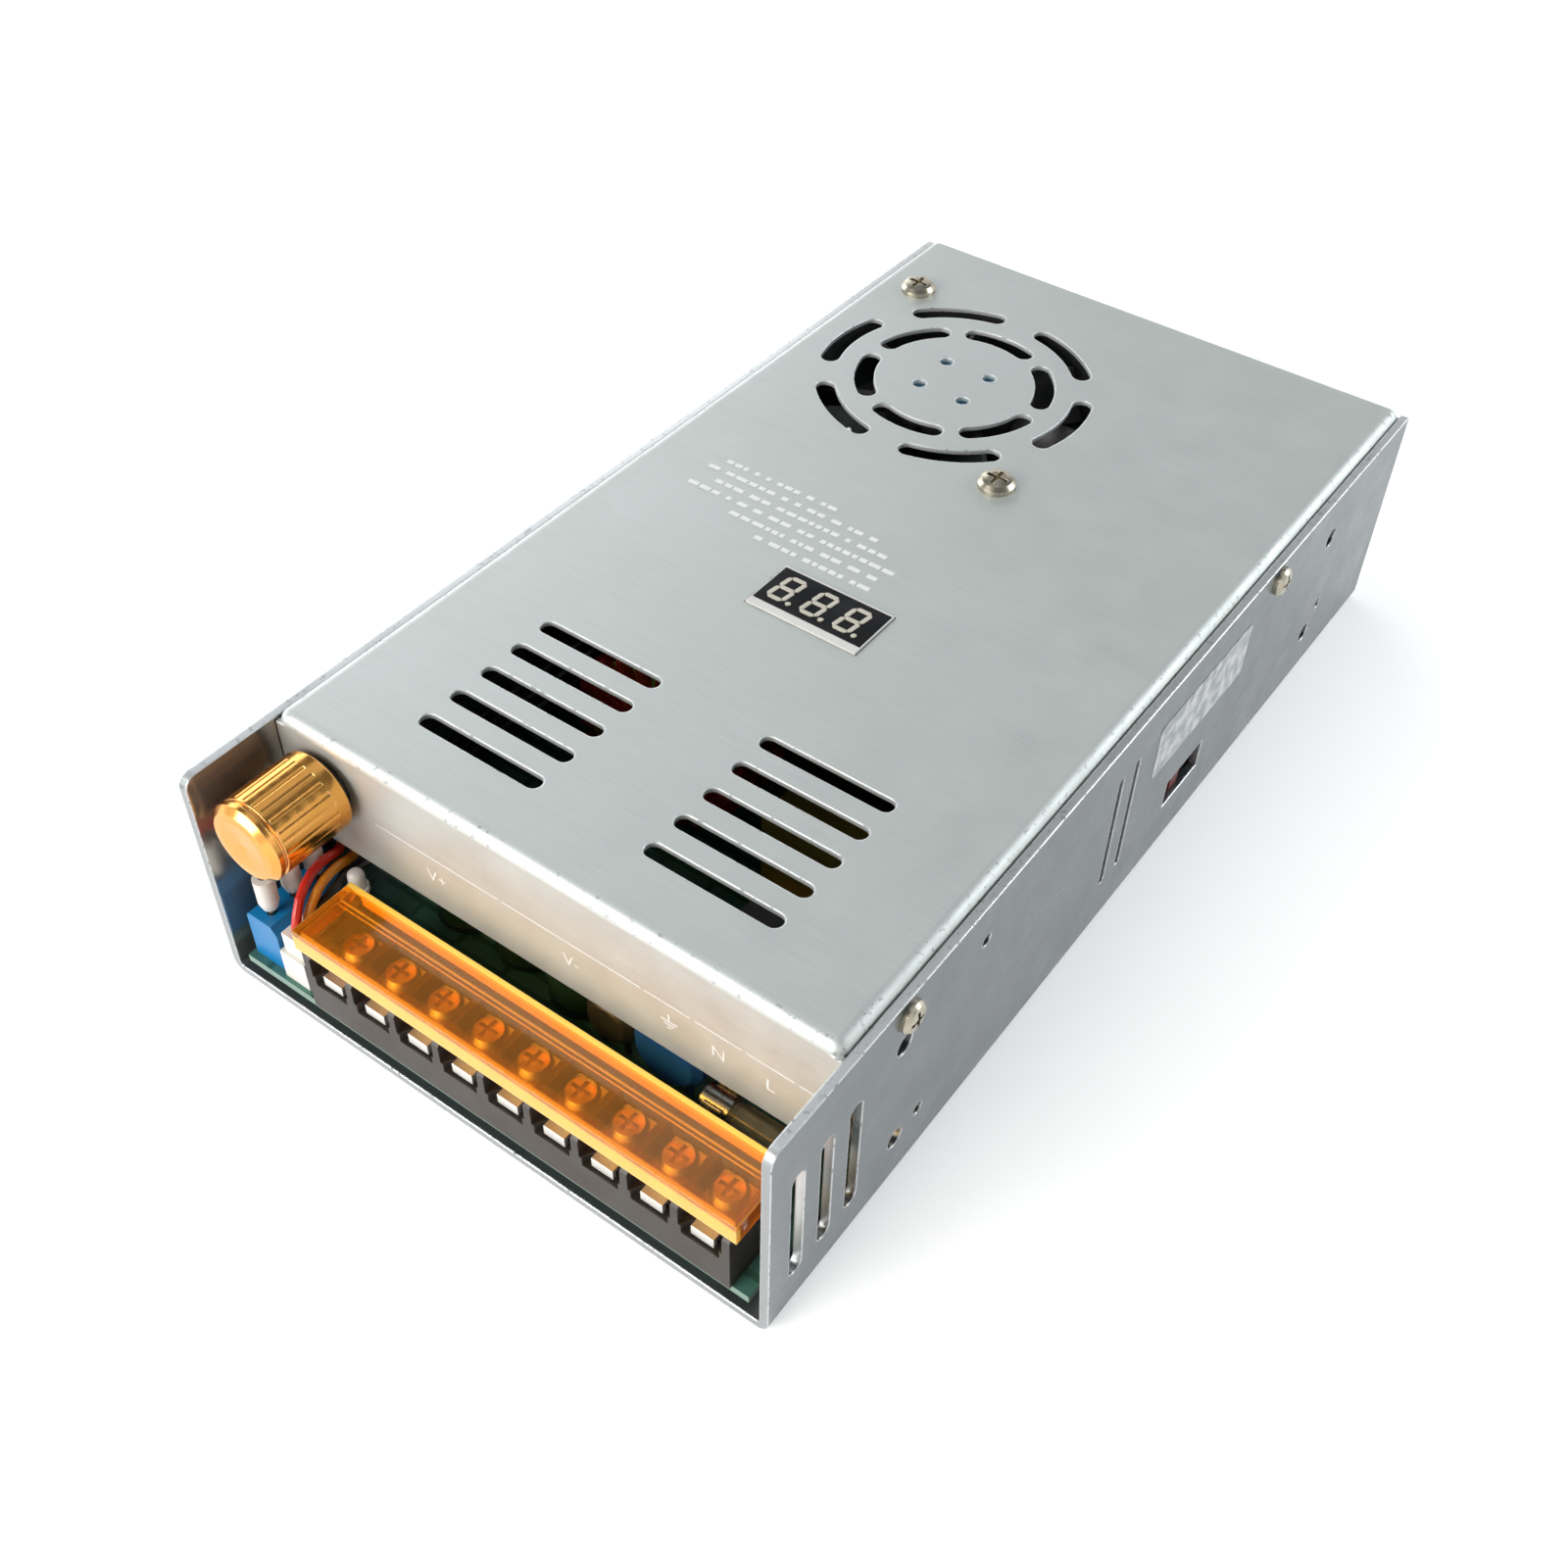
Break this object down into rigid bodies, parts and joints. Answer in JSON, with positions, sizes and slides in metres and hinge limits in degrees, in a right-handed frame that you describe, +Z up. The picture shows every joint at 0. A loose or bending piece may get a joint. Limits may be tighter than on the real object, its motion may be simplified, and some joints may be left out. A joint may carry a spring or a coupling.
{
  "type": "adjustable power supply",
  "caption": "Enclosed switching power supply in a folded sheet case, with a fan grille, a digital meter, a fluted knob and a covered screw terminal strip.",
  "frame": {"origin": "centre of the case's underside", "axes": "+Z up, -Y towards the terminal strip, +X towards the wall with the voltage selector"},
  "size_m": [0.1182, 0.215, 0.05],
  "materials": {
    "chassis_sheet": "satin mill finish",
    "cover_sheet": "satin plated sheet",
    "screw_steel": "zinc plated",
    "tinned_metal": "tinned",
    "nickel": "bright nickel",
    "fan_plastic": "moulded",
    "strip_plastic": "moulded",
    "lid_amber": "clear amber moulding",
    "board_green": "solder mask over laminate",
    "film": "thin sheet",
    "standoff_metal": "turned",
    "shaft_metal": "turned",
    "knob_gold": "gold anodised, turned",
    "black_steel": "black oxide",
    "white_plastic": "moulded",
    "meter_window": "smooth moulding",
    "digit_grey": "unlit segments",
    "terminal_blue": "moulded",
    "ferrule_copper": "bare",
    "lamp_clear": "diffused lens",
    "selector_dark": "moulded",
    "selector_red": "moulded",
    "lead_red": "extruded insulation",
    "lead_yellow": "extruded insulation",
    "lead_black": "extruded insulation",
    "ferrite": "ground",
    "powder_core": "painted",
    "copper_wire": "enamelled copper",
    "film_olive": "boxed",
    "disc_blue": "coated disc",
    "disc_dark": "coated disc",
    "fuse_glass": "clear",
    "clip_metal": "tinned",
    "sink_aluminium": "sawn",
    "package_black": "moulded",
    "sleeve_dark": "shrunk sleeve",
    "sleeve_green": "shrunk sleeve",
    "coil_tape": "taped windings"
  },
  "bodies": {
    "case": {"base_chassis": "chassis_sheet", "top_cover": "cover_sheet", "cover_screws": "screw_steel", "fan_screws": "screw_steel", "fan_frame": "fan_plastic", "fan_stator": "copper_wire", "terminal_block": "strip_plastic", "terminal_plates": "tinned_metal", "terminal_clamps": "tinned_metal", "terminal_screws": "tinned_metal", "circuit_board": "board_green", "insulating_film": "film", "board_standoffs": "standoff_metal", "board_screws": "screw_steel", "pot_body": "nickel", "pot_nut": "nickel", "pot_plug": "white_plastic", "pot_lead_red": "lead_red", "pot_lead_yellow": "lead_yellow", "pot_lead_black": "lead_black", "meter_housing": "white_plastic", "meter_face": "meter_window", "meter_digits": "digit_grey", "meter_board": "board_green", "meter_terminal": "terminal_blue", "meter_leads": "lead_black", "meter_ferrules": "white_plastic", "ferrule_tips": "ferrule_copper", "power_lamp": "lamp_clear", "selector_body": "selector_dark", "fan_lead_red": "lead_red", "fan_lead_black": "lead_black", "fan_plug": "white_plastic", "line_choke_core": "ferrite", "line_choke_windings": "copper_wire", "film_capacitor": "film_olive", "disc_capacitors": "disc_blue", "varistor": "disc_blue", "thermistor": "disc_dark", "fuse_tube": "fuse_glass", "fuse_caps": "nickel", "fuse_clips": "clip_metal", "bridge_rectifier": "package_black", "left_heat_sink": "sink_aluminium", "right_heat_sink": "sink_aluminium", "output_rectifiers": "package_black", "switching_transistors": "package_black", "bulk_capacitors": "sleeve_dark", "transformer_core": "ferrite", "transformer_coil": "coil_tape", "output_choke_core": "powder_core", "output_choke_winding": "copper_wire", "output_capacitors": "sleeve_green", "controller_board": "board_green"},
    "knob": {"control_knob": "knob_gold", "pot_shaft": "shaft_metal", "knob_set_screw": "black_steel"},
    "rotor": {"fan_rotor": "fan_plastic"},
    "lid": {"terminal_lid": "lid_amber"},
    "slider": {"selector_slider": "selector_red"}
  },
  "joints": [
    {"name": "knob_turn", "type": "hinge", "parent": "case", "child": "knob", "pos_m": [-0.04595, -0.09865, 0.0375], "axis": [0, 1, 0], "range_deg": [-150, 150]},
    {"name": "fan_spin", "type": "hinge", "parent": "case", "child": "rotor", "pos_m": [-0.0208, 0.06009, 0.0395], "axis": [0, 0, 1], "continuous": true},
    {"name": "lid_swing", "type": "hinge", "parent": "case", "child": "lid", "pos_m": [0.007, -0.095, 0.0199], "axis": [-1, 0, 0], "range_deg": [0, 95]},
    {"name": "selector_slide", "type": "slide", "parent": "case", "child": "slider", "axis": [0, 1, 0], "range_m": [0, 0.006]}
  ]
}
